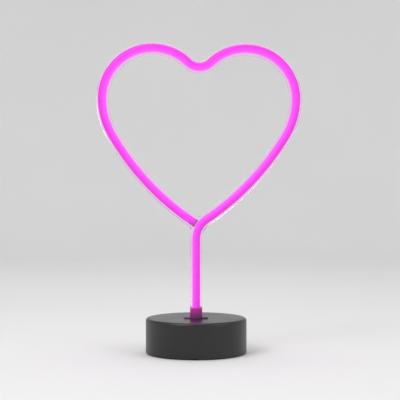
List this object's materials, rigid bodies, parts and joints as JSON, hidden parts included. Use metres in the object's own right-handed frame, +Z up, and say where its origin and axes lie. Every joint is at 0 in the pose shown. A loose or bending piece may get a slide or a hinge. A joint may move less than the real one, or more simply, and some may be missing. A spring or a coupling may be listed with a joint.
{
  "type": "neon sign table light",
  "caption": "Heart outline of lit silicone tube on a stem, held by a clear rear frame in a round black battery base with a hinged battery door, slide switch and low-voltage inlet.",
  "frame": {"origin": "on the table, under the middle of the round base, where the stem's axis meets it", "axes": "+Z up along the stem, +X to the right seen from the lit front, -Y towards the viewer of the lit front"},
  "size_m": [0.1937, 0.0946, 0.2921],
  "materials": {
    "lit_silicone": "soft satin silicone, lit pink",
    "end_silicone": "satin silicone",
    "clear_plastic": "clear, polished",
    "frosted_plastic": "frosted, satin",
    "circuit_strip": "white flexible circuit",
    "led_package": "moulded package, lit",
    "black_shell": "satin sides, glossy top",
    "black_inner": "fine satin",
    "black_detail": "satin",
    "foot_rubber": "matt",
    "screw_steel": "zinc-plated",
    "contact_metal": "nickel-plated spring steel",
    "cell_wrap": "plain wrapped can",
    "circuit_board": "solder-masked laminate",
    "chip_black": "moulded epoxy",
    "lead_red": "insulated wire",
    "lead_black": "insulated wire"
  },
  "bodies": {
    "sign": {"neon_sleeve": "lit_silicone", "tube_end_cap": "end_silicone", "back_frame": "clear_plastic", "led_strip": "circuit_strip", "led_chips": "led_package", "stem_collar": "frosted_plastic", "stem_retainer": "black_inner", "retainer_screws": "screw_steel", "base_shell": "black_shell", "bottom_cover": "black_inner", "cover_screws": "screw_steel", "foot_pads": "foot_rubber", "battery_1": "cell_wrap", "battery_2": "cell_wrap", "battery_3": "cell_wrap", "contact_plates": "contact_metal", "contact_springs": "contact_metal", "control_board": "circuit_board", "board_screws": "screw_steel", "driver_chip": "chip_black", "board_resistors": "chip_black", "switch_housing": "black_detail", "inlet_housing": "black_detail", "inlet_pin": "contact_metal", "positive_lead": "lead_red", "negative_lead": "lead_black", "strip_lead_inner": "lead_red", "strip_lead_outer": "lead_black"},
    "door": {"battery_door": "black_inner"},
    "knob": {"switch_knob": "black_detail"}
  },
  "joints": [
    {"name": "door_hinge", "type": "hinge", "parent": "sign", "child": "door", "pos_m": [-0.0311, 0, 0.0017], "axis": [0, 1, 0], "range_deg": [0, 80]},
    {"name": "switch_slide", "type": "slide", "parent": "sign", "child": "knob", "axis": [1, 0, 0], "range_m": [0, 0.003]}
  ]
}
